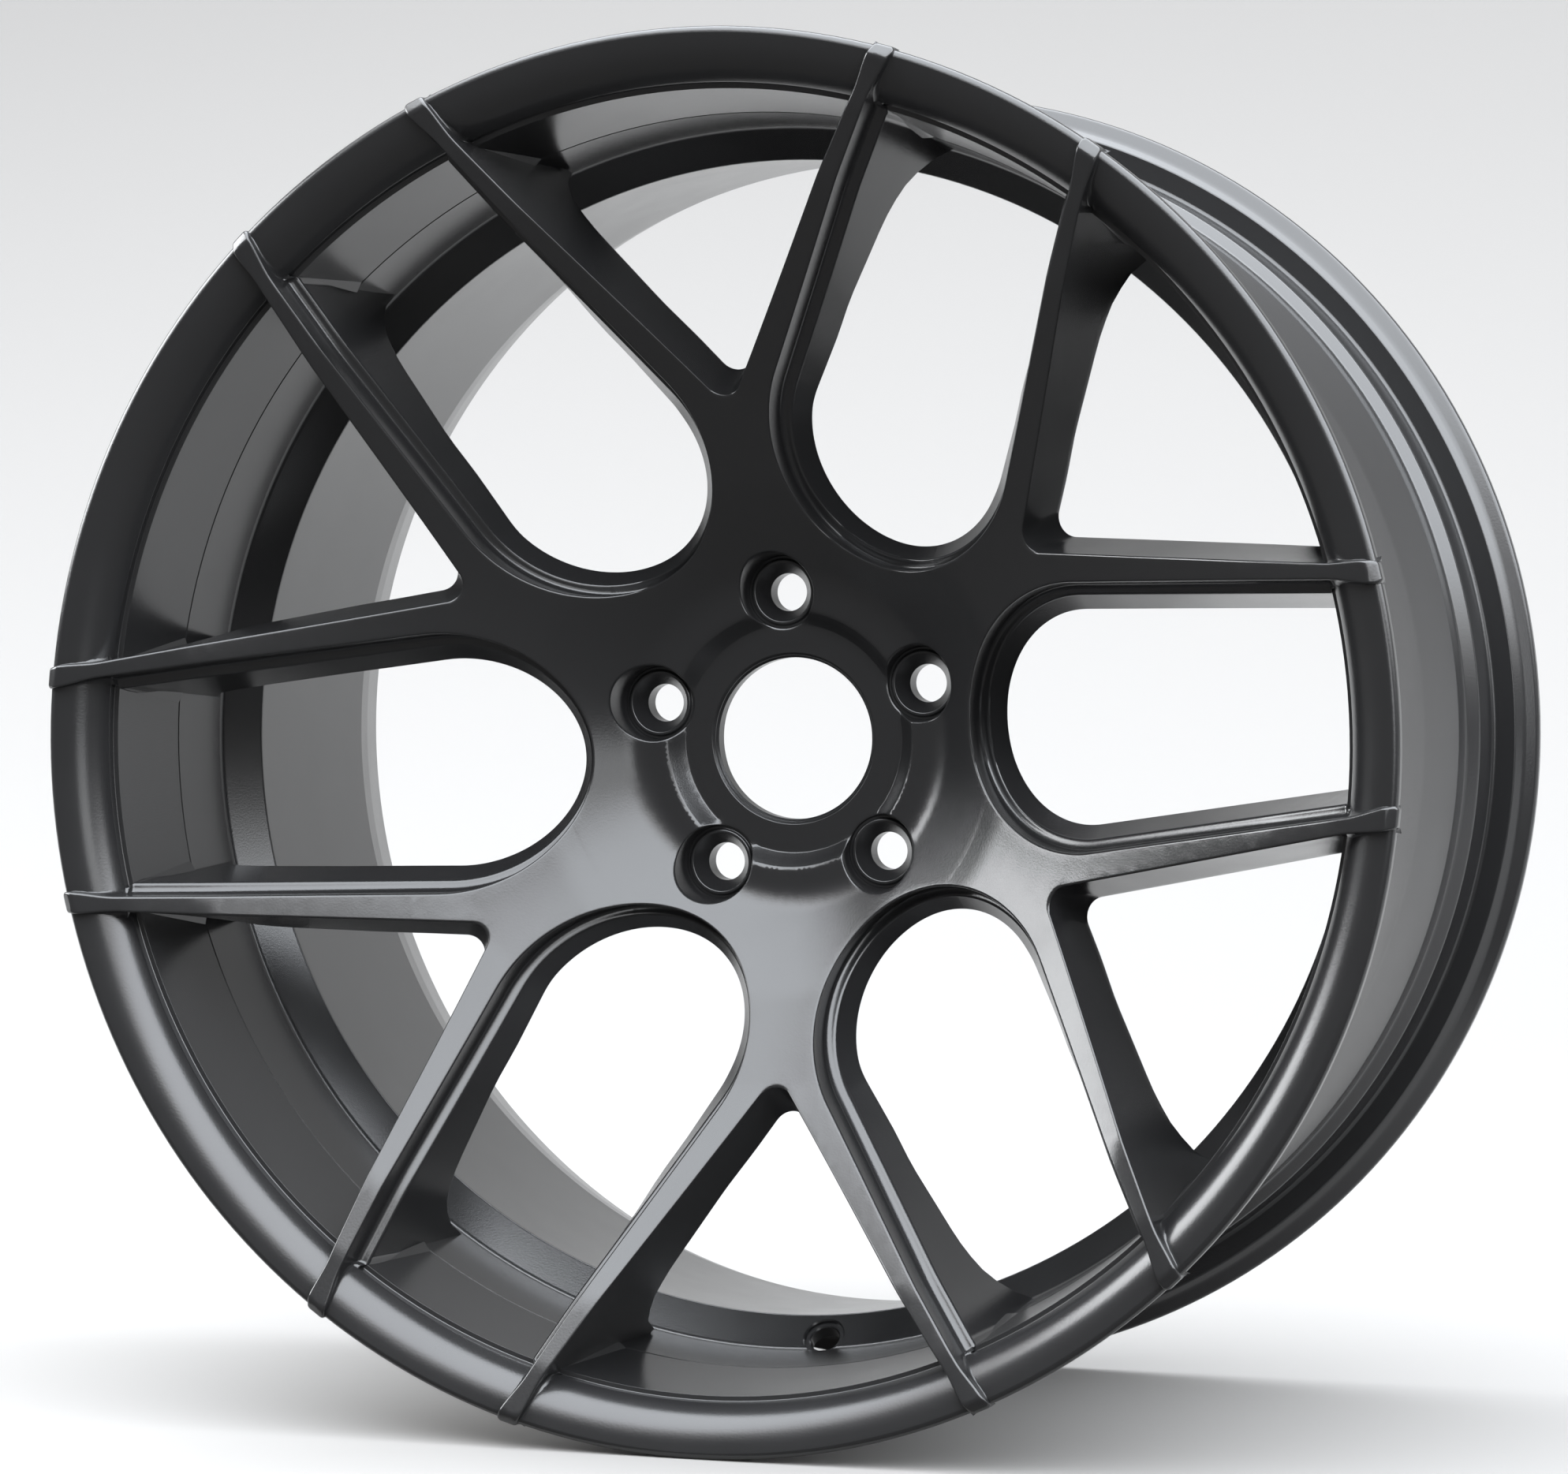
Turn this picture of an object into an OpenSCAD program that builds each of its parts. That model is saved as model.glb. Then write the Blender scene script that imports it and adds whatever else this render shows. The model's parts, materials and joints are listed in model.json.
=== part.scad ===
// Forged racing wheel rim: 19 x 9.5 J, six Y-spokes, five lug holes, flow-formed barrel.
// The wheel stands on its tread. Its axle is the Y axis, the street side faces -Y, +Z is up,
// and the origin is the centre of the hub bore on the mounting face.
// Every module is drawn lying down (street side up) and stood upright by up_right().

/* [Rim] */
// Diameter of the tyre bead seats (19 inch)
bead_d = 482.6; // [457.2:0.1:533.4]
// Width between the two tyre flanges (9.5 inch)
rim_w = 241.3; // [228.6:0.1:266.7]
// Offset: how far the mounting face lies in front of the rim's centre plane
offset_et = 6; // [0:0.5:12]
// Height of a tyre flange above its bead seat
flange_h = 17.5; // [16:0.1:18.5]
// Thickness of the barrel wall behind the drop centre
wall_t = 4.3; // [4:0.1:6]

/* [Hub] */
// Bolt circle diameter
lug_pcd = 112; // [108:0.1:114.3]
// Diameter of the lug bolt holes
lug_hole_d = 14.5; // [13:0.1:15]
// Largest diameter of the 60 degree lug seat cone
lug_seat_d = 23.6; // [21:0.1:25]
// Diameter of the round pocket over each lug seat
lug_pocket_d = 28; // [26:0.1:30]
// Diameter of the hub bore that centres the wheel on the car
hub_bore_d = 66.6; // [60:0.1:68]
// Diameter of the narrower bore in front that holds a centre cap
cap_bore_d = 61.8; // [56:0.1:62]
// Diameter of the machined mounting pad
pad_d = 144; // [138:1:148]
// Height of the hub's front face above the mounting face
hub_t = 15.3; // [14:0.1:18]

/* [Spokes] */
// Clocking of the first Y-spoke, counter-clockwise from the right-hand side
spin = 94.3; // [60:0.1:120]
// Depth of the step that runs round each U window
step_depth = 13.5; // [8:0.5:16]
// Width of that step
step_w = 4.7; // [3:0.1:6]
// How far the arms stand proud of the front lip
arm_proud = 3.2; // [2:0.1:5]

/* [Hidden] */
y_count = 6;          // Y-spokes
lug_n = 5;            // lug holes
bead_r = bead_d / 2;
flange_r = bead_r + flange_h;
front_z = rim_w / 2 - offset_et;   // tyre side of the front flange
rear_z = -rim_w / 2 - offset_et;   // tyre side of the rear flange
big = 400;            // longer than anything on the wheel
$fn = 96;

// Street-side height of the spoke face at a few radii: the dish of the wheel.
cup_in_r = 44.3;      // edge of the flat round the bore
crest_r = 48.8;       // top of the steep rise beside it
crest_z = hub_t + 6.3;
face_r = 63;          // start of the conical face
face_z = hub_t + 9.9;
root_r = 95.4;
root_z = hub_t + 30.1;
fork_r = 128.8;       // where a Y splits into its two arms
fork_z = hub_t + 48.7;
arm_r = 210;
arm_z = front_z - 1.45;
tip_r = flange_r - 3.4;
tip_z = front_z + 12.8 + arm_proud;
end_r = flange_r + 0.8;
end_z = tip_z - 3.2;

// Back of the spokes.
pad_r = pad_d / 2;
pad_h = 4;            // height of the machined pad
hub_r = 88;           // the hub ends and the Y-spokes begin here
back_slope = 0.637;
back_z0 = 7.5;        // height of the back face just outside the pad
back_r0 = 76;
hub_back_z = back_z0 + (hub_r - back_r0) * back_slope;
hub_face_z = face_z + (hub_r - face_r) * (root_z - face_z) / (root_r - face_r);
cap_ring_r = hub_bore_d / 2 + 3;   // outside of the ring that holds a centre cap
cap_ring_z = hub_t / 2 - 1;        // its back face

// Windows, in plan.
u_c = 125.1;          // centre of the round end of a U window
u_r = 49.3;           // radius of that round end
u_close = 4.2;        // closing angle of its sides
v_r = 129.4;          // innermost point of a V window
v_round = 7.3;        // corner radius there
v_open = 36.75;       // half angle of a V window
draft = 2.4;          // mean setback of the drafted window walls
side_kink = 3;        // a side leaves its corner arc this far past the tangent point

// Barrel, radius of its bore and of its tyre side at each change of slope.
lip_in_r = bead_r - 3.1;
lip_in_z = front_z - 1.85;
seat_in_r = bead_r - 4.1;
seat_in_z = front_z - 4.15;
ledge_in_r = bead_r - 8;
ledge_in_z = front_z - 46.35;
well_top_r = bead_r - 10.1;
well_top_z = front_z - 80.85;
well_in_r = bead_r - 21.7;
well_in_z = front_z - 93.25;
bevel_r = bead_r - 9.8;
bevel_z = rear_z + 25.15;
mouth_r = bead_r - 3.6;
mouth_z = rear_z - 5.35;
ledge_r = bead_r - 3;
well_r = bead_r - 16.9;
seat_w = 19;          // width of a bead seat
seat_fall = 1.7;      // a 5 degree taper over that width
hump_h = 1.1;         // safety hump
heel = 2.2;           // heel of the seat against its flange

// Planes where one named region of the forging ends and the next begins.
cut_lip = seat_in_z;
cut_seat = front_z - 30.65;
cut_ledge = front_z - 74.65;
cut_well = rear_z + 120.65;
cut_rear = rear_z + 29.65;
cut_flange = rear_z + 4.65;

// Valve hole, square to the sloping front wall of the drop centre, opposite the first Y-spoke.
valve_d = 11.3;
valve_spot_d = 15.5;
valve_spot_h = 1.4;
valve_at = 0.38;      // how far down the slope
valve_r = well_top_r + (well_in_r - well_top_r) * valve_at;
valve_z = well_top_z + (well_in_z - well_top_z) * valve_at;
valve_tilt = atan2(well_top_r - well_in_r, well_top_z - well_in_z);
valve_angle = spin + 180;
valve_reach = 20;     // the drill goes this far each way

satin_black = [0.07, 0.07, 0.08];
bare_black = [0.11, 0.11, 0.12];

// Stands the wheel on its tread: what was up (the street side) now faces -Y.
module up_right() { rotate([90, 0, 0]) children(); }

// Straight line between two barrel points, as the radius at height z.
function at_z(z, r1, z1, r2, z2) = r1 + (r2 - r1) * (z - z1) / (z2 - z1);
function well_bore(z) = at_z(z, well_in_r, well_in_z, bevel_r, bevel_z);
function seat_bore(z) = at_z(z, seat_in_r, seat_in_z, ledge_in_r, ledge_in_z);
function ledge_bore(z) = at_z(z, ledge_in_r, ledge_in_z, well_top_r, well_top_z);
function mouth_bore(z) = at_z(z, bevel_r, bevel_z, mouth_r, mouth_z);
function lug_angle(k) = spin + 360 / lug_n * (k - 1);
function spoke_angle(k) = spin - 360 / y_count * (k - 1);

// Plan of one U window pointing along +X, grown inwards by inset.
module u_plan(inset) {
    r = u_r - inset;
    side = (r - (big - u_c) * sin(u_close)) / cos(u_close);
    meet = u_close + side_kink;
    near = [u_c + r * sin(meet), r * cos(meet)];
    translate([u_c, 0]) circle(r = r);
    polygon([[u_c, 0], near, [big, side], [big, -side], [near[0], -near[1]]]);
}

// Plan of one V window pointing along +X, its sides moved inwards by inset.
module v_plan(inset) {
    c = v_r + v_round + inset / sin(v_open);
    side = (v_round + (big - c) * sin(v_open)) / cos(v_open);
    meet = v_open - side_kink;
    near = [c - v_round * sin(meet), v_round * cos(meet)];
    translate([c, 0]) circle(r = v_round);
    polygon([[c, 0], near, [big, side], [big, -side], [near[0], -near[1]]]);
}

// One U window: the opening itself and the step round it.
module u_window(angle) {
    rotate([0, 0, angle]) {
        translate([0, 0, -big / 2]) linear_extrude(big) u_plan(step_w + draft);
        intersection() {
            linear_extrude(big) u_plan(0);
            above_step();
        }
    }
}

module v_window(angle) {
    rotate([0, 0, angle]) translate([0, 0, -big / 2]) linear_extrude(big) v_plan(draft);
}

// Everything in front of the surface that the step lies in.
module above_step() {
    rotate_extrude() polygon([
        [cup_in_r, face_z - step_depth], [face_r, face_z - step_depth],
        [root_r, root_z - step_depth], [fork_r, fork_z - step_depth],
        [arm_r, arm_z - step_depth], [tip_r, tip_z - step_depth],
        [big, tip_z - step_depth], [big, big], [cup_in_r, big]]);
}

// All the rim rings as one solid, which the spokes grow out of.
module rim_body() {
    rotate_extrude() {
        front_lip_section();
        front_seat_section();
        front_ledge_section();
        drop_centre_section();
    }
}

// ---- hub ----
module hub() {
    color(satin_black) up_right() difference() {
        rotate_extrude() polygon([
            [hub_bore_d / 2, pad_h], [pad_r + 1, pad_h], [hub_r, hub_back_z],
            [hub_r, hub_face_z], [face_r, face_z], [crest_r + 8.4, crest_z + 0.8],
            [crest_r, crest_z], [cup_in_r, hub_t], [cap_ring_r, hub_t],
            [cap_ring_r, cap_ring_z], [hub_bore_d / 2, cap_ring_z]]);
        for (k = [1:lug_n]) rotate([0, 0, lug_angle(k)])
            translate([lug_pcd / 2, 0, -1]) cylinder(d = lug_pocket_d, h = big);
        for (k = [1:y_count]) u_window(spoke_angle(k) - 180 / y_count);
    }
}

module mounting_pad() {
    color(bare_black) up_right() difference() {
        cylinder(r = pad_r, h = pad_h);
        translate([0, 0, -1]) cylinder(d = hub_bore_d, h = pad_h + 2);
        for (k = [1:lug_n]) rotate([0, 0, lug_angle(k)])
            translate([lug_pcd / 2, 0, -1]) cylinder(d = lug_pocket_d, h = pad_h + 2);
    }
}

// The narrow ring in front of the hub bore where a centre cap would clip in.
module cap_seat_ring() {
    r = cap_bore_d / 2;
    color(satin_black) up_right() rotate_extrude() polygon([
        [r, cap_ring_z + 1], [r, hub_t - 2.2], [r + 0.9, hub_t - 1.4], [r + 0.9, hub_t - 1],
        [r + 1.9, hub_t], [cap_ring_r, hub_t], [cap_ring_r, cap_ring_z], [r + 1, cap_ring_z]]);
}

// One conical lug seat with its bolt hole.
module lug_seat(k) {
    floor_z = hub_t - 0.3;
    rim = 1;          // rounded rim of the cone
    cone_h = (lug_seat_d - lug_hole_d) / 2 / tan(30);
    color(satin_black) up_right() rotate([0, 0, lug_angle(k)]) translate([lug_pcd / 2, 0, 0])
        rotate_extrude() polygon([
            [lug_hole_d / 2, 0], [lug_pocket_d / 2, 0], [lug_pocket_d / 2, floor_z - rim],
            [lug_seat_d / 2 + rim, floor_z - rim], [lug_seat_d / 2 + rim / 2, floor_z],
            [lug_seat_d / 2, floor_z], [lug_hole_d / 2, floor_z - cone_h]]);
}
module lug_seat_1() { lug_seat(1); }
module lug_seat_2() { lug_seat(2); }
module lug_seat_3() { lug_seat(3); }
module lug_seat_4() { lug_seat(4); }
module lug_seat_5() { lug_seat(5); }

// ---- Y-spokes ----
// One Y: a root between two U windows that forks round a V window into two arms.
// The arms carry on over the front lip and stand a little proud of it.
module y_spoke(k) {
    half = 180 / y_count;
    wide = [big * cos(half), big * sin(half)];
    flare_r = well_top_r + 2.6;
    color(satin_black) up_right() difference() {
        intersection() {
            rotate_extrude() polygon([
                // Back of the root and arms, hub to drop centre.
                [hub_r, hub_back_z], [fork_r - 1.8, hub_back_z + (fork_r - hub_r) * 0.62],
                [154, 51], [168, 59], [200, 68], [212, 66.5], [221, 58.5], [227, 47],
                // Inside the barrel wall, which is cut away below, and over the front lip.
                [well_top_r, well_top_z + 0.5], [flare_r, well_top_z + 0.5],
                [ledge_in_r + 2.5, ledge_in_z], [seat_in_r + 1.6, cut_lip - 10],
                [seat_in_r + 2.5, front_z - 3], [bead_r + 2.5, front_z + 2.5],
                [bead_r + 9, front_z + 5],
                [flange_r - 3, front_z + 8.8], [end_r, front_z + 8.8],
                // Street side of the arms, the fork and the root.
                [end_r, end_z], [tip_r, tip_z], [arm_r + 25, arm_z + 10.8],
                [arm_r, arm_z], [fork_r, fork_z], [root_r, root_z], [hub_r, hub_face_z]]);
            rotate([0, 0, spoke_angle(k)]) linear_extrude(big)
                polygon([[0, 0], [wide[0], -wide[1]], wide]);
        }
        u_window(spoke_angle(k) - half);
        u_window(spoke_angle(k) + half);
        v_window(spoke_angle(k));
        rim_body();
    }
}
module y_spoke_1() { y_spoke(1); }
module y_spoke_2() { y_spoke(2); }
module y_spoke_3() { y_spoke(3); }
module y_spoke_4() { y_spoke(4); }
module y_spoke_5() { y_spoke(5); }
module y_spoke_6() { y_spoke(6); }

// ---- rim rings, street side to car side ----
// The lip curls out from the front flange and rolls over to the street side.
module front_lip_section() {
    polygon([
        [seat_in_r, cut_lip], [lip_in_r - 0.2, lip_in_z - 1], [lip_in_r, lip_in_z],
        [bead_r - 0.8, front_z + 0.6], [bead_r + 3.2, front_z + 4.9],
        [bead_r + 7.2, front_z + 8.9], [bead_r + 10.2, front_z + 11.6],
        [flange_r - 4.8, front_z + 12.8], [flange_r - 2.5, front_z + 12.8],
        [flange_r - 0.7, front_z + 11.6], [flange_r, front_z + 9.6],
        [flange_r - 0.4, front_z + 7.3], [flange_r - 1.8, front_z + 5.6],
        [flange_r - 4.3, front_z + 4.2], [flange_r - 6.8, front_z + 2.2],
        [flange_r - 8.2, front_z], [bead_r + heel, front_z], [bead_r, front_z - heel],
        [bead_r - (heel / seat_w) * seat_fall, cut_lip]]);
}
module front_lip() { color(satin_black) up_right() rotate_extrude() front_lip_section(); }

module front_seat_section() {
    hump_z = front_z - heel - seat_w;
    polygon([
        [seat_in_r, cut_lip], [bead_r - (heel / seat_w) * seat_fall, cut_lip],
        [bead_r - seat_fall, hump_z], [bead_r - seat_fall + hump_h, hump_z - 3],
        [ledge_r + 0.3, hump_z - 7.5], [ledge_r, cut_seat], [seat_bore(cut_seat), cut_seat]]);
}
module front_bead_seat() {
    color(satin_black) up_right() rotate_extrude() front_seat_section();
}

module front_ledge_section() {
    polygon([
        [seat_bore(cut_seat), cut_seat], [ledge_r, cut_seat], [ledge_r, cut_ledge],
        [ledge_bore(cut_ledge), cut_ledge], [ledge_in_r, ledge_in_z]]);
}
module front_ledge() { color(satin_black) up_right() rotate_extrude() front_ledge_section(); }

// The well the tyre bead drops into when it is fitted; its front wall holds the valve hole.
module drop_centre_section() {
    polygon([
        [ledge_bore(cut_ledge), cut_ledge], [ledge_r, cut_ledge],
        [ledge_r, well_top_z + 1.7], [well_r, well_in_z - 6.4], [well_r, well_in_z - 13.4],
        [well_bore(cut_well) + wall_t, cut_well], [well_bore(cut_well), cut_well],
        [well_in_r, well_in_z], [well_top_r, well_top_z]]);
}
module drop_centre() {
    color(satin_black) up_right() difference() {
        rotate_extrude() drop_centre_section();
        valve_drill();
    }
}
// The drill runs along the normal of the slope, with a shallow spot face on the bore side.
module valve_drill() {
    rotate([0, 0, valve_angle]) translate([valve_r, 0, valve_z])
        rotate([0, valve_tilt - 90, 0]) {
            cylinder(d = valve_d, h = 2 * valve_reach, center = true);
            translate([0, 0, -valve_spot_h]) cylinder(d = valve_spot_d, h = valve_spot_d);
        }
}

module rear_barrel() {
    color(satin_black) up_right() rotate_extrude() polygon([
        [well_bore(cut_well), cut_well], [well_bore(cut_well) + wall_t, cut_well],
        [well_bore(rear_z + 55) + wall_t + 0.4, rear_z + 55],
        [bead_r - 5, rear_z + 40.65], [bead_r - 4.9, cut_rear], [well_bore(cut_rear), cut_rear]]);
}

module rear_bead_seat() {
    hump_z = rear_z + 19.15;
    color(satin_black) up_right() rotate_extrude() polygon([
        [well_bore(cut_rear), cut_rear], [bead_r - 4.9, cut_rear],
        [bead_r - 4.9, hump_z + 8.5], [bead_r - 0.4, hump_z], [bead_r - seat_fall + 0.3, hump_z - 3],
        [bead_r - 0.3, cut_flange], [mouth_bore(cut_flange), cut_flange], [bevel_r, bevel_z]]);
}

module rear_flange() {
    color(satin_black) up_right() rotate_extrude() polygon([
        [mouth_bore(cut_flange), cut_flange], [bead_r - 0.3, cut_flange],
        [bead_r, rear_z + heel], [bead_r + heel, rear_z], [flange_r - 8.2, rear_z],
        [flange_r - 6.8, rear_z - 2.2], [flange_r - 4.3, rear_z - 4.2],
        [flange_r - 1.8, rear_z - 5.6], [flange_r - 0.4, rear_z - 7.3],
        [flange_r, rear_z - 9.3], [flange_r - 0.7, rear_z - 11], [flange_r - 2.4, rear_z - 12],
        [flange_r - 6, rear_z - 11.8], [bead_r + 4, rear_z - 10.2],
        [bead_r - 0.8, rear_z - 8.8], [mouth_r, mouth_z]]);
}

hub();
mounting_pad();
cap_seat_ring();
lug_seat_1();
lug_seat_2();
lug_seat_3();
lug_seat_4();
lug_seat_5();
y_spoke_1();
y_spoke_2();
y_spoke_3();
y_spoke_4();
y_spoke_5();
y_spoke_6();
front_lip();
front_bead_seat();
front_ledge();
drop_centre();
rear_barrel();
rear_bead_seat();
rear_flange();
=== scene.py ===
"""Looks for the forged wheel rim: every CAD region gets a finished mesh with fillets and drafted walls.

Shapes are worked out in millimetres in the wheel's own terms: r is the radius from the axle, z is
the height above the mounting face towards the street side, and the plan is what the street sees.
The axle is the Y axis and the street side faces -Y, so plan (x, y) at height z lands on (x, -z, y).
"""
import json
import math

import bmesh
import bpy
import numpy as np
from mathutils import Matrix, Vector
from mathutils.geometry import delaunay_2d_cdt


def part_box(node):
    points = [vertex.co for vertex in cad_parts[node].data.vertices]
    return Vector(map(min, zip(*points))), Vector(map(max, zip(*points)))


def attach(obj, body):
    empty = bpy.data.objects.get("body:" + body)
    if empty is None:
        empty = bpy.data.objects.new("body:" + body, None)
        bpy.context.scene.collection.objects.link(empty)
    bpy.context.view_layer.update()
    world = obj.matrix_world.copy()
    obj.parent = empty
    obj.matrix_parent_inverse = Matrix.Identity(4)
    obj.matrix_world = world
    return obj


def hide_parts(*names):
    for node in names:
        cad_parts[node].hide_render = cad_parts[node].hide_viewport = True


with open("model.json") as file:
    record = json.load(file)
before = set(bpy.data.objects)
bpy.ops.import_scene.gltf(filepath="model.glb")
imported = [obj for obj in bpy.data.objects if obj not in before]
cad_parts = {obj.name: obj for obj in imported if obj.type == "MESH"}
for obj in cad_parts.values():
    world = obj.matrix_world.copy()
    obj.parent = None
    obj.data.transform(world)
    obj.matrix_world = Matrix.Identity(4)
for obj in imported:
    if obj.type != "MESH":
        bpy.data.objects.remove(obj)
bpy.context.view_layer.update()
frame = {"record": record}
MM = 0.001

# ---- sizes taken from the frame ----
mounts = {mount["name"]: mount for mount in frame["record"]["mounts"]}
BORE_R = mounts["hub_bore"]["dims"]["r_mm"]
CAP_R = mounts["cap_bore"]["dims"]["r_mm"]
LUG_CIRCLE_R = mounts["lug_holes"]["dims"]["pcd_mm"] / 2
LUG_HOLE_R = mounts["lug_holes"]["dims"]["hole_r_mm"]
LUGS = mounts["lug_holes"]["dims"]["count"]
VALVE_HOLE_R = mounts["valve_hole"]["dims"]["r_mm"]


def box_mm(node):
    low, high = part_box(node)
    return np.array(low) / MM, np.array(high) / MM


lip_low, lip_high = box_mm("front_lip")
ring_low, ring_high = box_mm("cap_seat_ring")
pad_low, pad_high = box_mm("mounting_pad")
lug_low, lug_high = box_mm("lug_seat_1")
FLANGE_R = lip_high[0]
LIP_TOP_Z = -lip_low[1]
REAR_END_Z = -box_mm("rear_flange")[1][1]
CAP_RING_R = ring_high[0]
HUB_Z = -ring_low[1]
PAD_Z = -pad_low[1]
PAD_R = pad_high[0]
POCKET_R = (lug_high[0] - lug_low[0]) / 2
SPIN = math.atan2(lug_low[2] + lug_high[2], lug_low[0] + lug_high[0])  # plan angle of spoke and lug 1

# ---- rim sizes that follow from those ----
BEAD_R = FLANGE_R - 17.5          # tyre bead seats
FRONT_Z = LIP_TOP_Z - 12.8        # tyre side of the front flange
REAR_Z = REAR_END_Z + 12.0        # tyre side of the rear flange
LEDGE_Z = FRONT_Z - 46.35         # turned groove between the two ledges of the bore
LIP_EDGE = (BEAD_R - 1.6, FRONT_Z - 0.2)        # inner edge of the front lip
LIP_CORNER = (BEAD_R + 2.2, LIP_TOP_Z - 2.7)    # where the lip's slope would meet its crest
LIP_ROUND = 18                    # radius that rolls the slope into the crest
SPOKES = 6

# ---- fineness of the meshes ----
TURN_STEPS = 240                  # facets round a full turn of the rim
SHARP_ANGLE = math.radians(36)    # edges that bend more than this stay crisp


def rounded(corners, steps=5):
    """Polyline through (u, v, radius) corners, each corner between the ends drawn as an arc.

    Arcs that would meet on a short leg shrink until both fit.
    """
    spots = np.array([corner[:2] for corner in corners], float)
    legs = np.diff(spots, axis=0)
    lengths = np.hypot(*legs.T)
    legs /= lengths[:, None]
    sweeps = np.arccos(np.clip((legs[:-1] * legs[1:]).sum(1), -1, 1))
    reaches = np.zeros(len(spots))
    reaches[1:-1] = [bend * math.tan(sweep / 2) for (_, _, bend), sweep in zip(corners[1:-1], sweeps)]
    room = np.minimum(1, 0.98 * lengths / np.maximum(reaches[:-1] + reaches[1:], 1e-9))
    points = [spots[0]]
    for corner, back, ahead, sweep, reach, limits in zip(
            spots[1:-1], -legs[:-1], legs[1:], sweeps, reaches[1:-1], zip(room, room[1:])):
        reach = reach * min(limits)
        if reach == 0 or sweep < 0.01:
            points.append(corner)
            continue
        middle = (back + ahead) / np.linalg.norm(back + ahead)
        centre = corner + middle * reach / math.sin(sweep / 2)
        start = corner + back * reach - centre
        end = corner + ahead * reach - centre
        for t in np.linspace(0, 1, steps + 1):
            leaving = math.sin((1 - t) * sweep) * start
            arriving = math.sin(t * sweep) * end
            points.append(centre + (leaving + arriving) / math.sin(sweep))
    points.append(spots[-1])
    return np.array(points)


# ---- meshes and materials ----
PEEL_SCALE = 1400                 # waves of orange peel in a metre
PEEL_HEIGHT = 0.0001              # in metres
CLOUD_SCALE = 45                  # patches of slightly different gloss in a metre
GLOSS_SWING = 0.035
TINT_SWING = 0.15


def powder_coat(name, colour, roughness, grain):
    """Satin powder coat: a fine orange-peel bump and a slight cloudiness in the gloss."""
    material = bpy.data.materials.new(name)
    material.use_nodes = True
    nodes = material.node_tree.nodes
    links = material.node_tree.links
    shader = nodes["Principled BSDF"]
    place = nodes.new("ShaderNodeTexCoord")
    peel = nodes.new("ShaderNodeTexNoise")
    peel.inputs["Scale"].default_value = PEEL_SCALE
    peel.inputs["Detail"].default_value = 3
    links.new(place.outputs["Object"], peel.inputs["Vector"])
    cloud = nodes.new("ShaderNodeTexNoise")
    cloud.inputs["Scale"].default_value = CLOUD_SCALE
    cloud.inputs["Detail"].default_value = 4
    links.new(place.outputs["Object"], cloud.inputs["Vector"])
    gloss = nodes.new("ShaderNodeMapRange")
    gloss.inputs["To Min"].default_value = roughness - GLOSS_SWING
    gloss.inputs["To Max"].default_value = roughness + GLOSS_SWING
    links.new(cloud.outputs["Fac"], gloss.inputs["Value"])
    links.new(gloss.outputs["Result"], shader.inputs["Roughness"])
    tint = nodes.new("ShaderNodeMix")
    tint.data_type = "RGBA"
    tint.inputs["A"].default_value = (*[c * (1 - TINT_SWING) for c in colour], 1)
    tint.inputs["B"].default_value = (*[c * (1 + TINT_SWING) for c in colour], 1)
    links.new(peel.outputs["Fac"], tint.inputs["Factor"])
    links.new(tint.outputs["Result"], shader.inputs["Base Color"])
    bump = nodes.new("ShaderNodeBump")
    bump.inputs["Strength"].default_value = grain
    bump.inputs["Distance"].default_value = PEEL_HEIGHT
    links.new(peel.outputs["Fac"], bump.inputs["Height"])
    links.new(bump.outputs["Normal"], shader.inputs["Normal"])
    return material


satin = powder_coat("satin_black_coat", (0.009, 0.009, 0.0093), 0.23, 0.3)
bare = powder_coat("machined_pad_coat", (0.032, 0.032, 0.034), 0.5, 0.45)


def tidy_normals(mesh):
    work = bmesh.new()
    work.from_mesh(mesh)
    bmesh.ops.recalc_face_normals(work, faces=work.faces)
    work.to_mesh(mesh)
    work.free()
    mesh.shade_smooth()
    mesh.set_sharp_from_angle(angle=SHARP_ANGLE)


def finish_piece(node, vertices, faces, material=satin, slot="satin_black"):
    """Makes one closed piece out of plan points and heights, in place of a CAD node."""
    points = np.asarray(vertices, float) * MM
    mesh = bpy.data.meshes.new(node + "_metal")
    mesh.from_pydata(np.column_stack((points[:, 0], -points[:, 2], points[:, 1])).tolist(), [], faces)
    piece = bpy.data.objects.new(node + "_metal", mesh)
    bpy.context.scene.collection.objects.link(piece)
    tidy_normals(mesh)
    mesh.materials.append(material)
    weighted = piece.modifiers.new("weighted_normals", "WEIGHTED_NORMAL")
    weighted.keep_sharp = True
    weighted.mode = "FACE_AREA"
    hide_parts(node)
    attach(piece, "root")
    return piece


def revolve(outline, steps=TURN_STEPS, centre=(0.0, 0.0)):
    """Turns a closed (r, z) outline about an axis through centre."""
    outline = np.asarray(outline)
    count = len(outline)
    angles = np.arange(steps) * 2 * math.pi / steps
    vertices = [
        (centre[0] + r * math.cos(a), centre[1] + r * math.sin(a), z) for a in angles for r, z in outline]
    faces = []
    for i in range(steps):
        here = i * count
        there = (i + 1) % steps * count
        for j in range(count):
            k = (j + 1) % count
            faces.append((here + j, here + k, there + k, there + j))
    return vertices, faces


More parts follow.
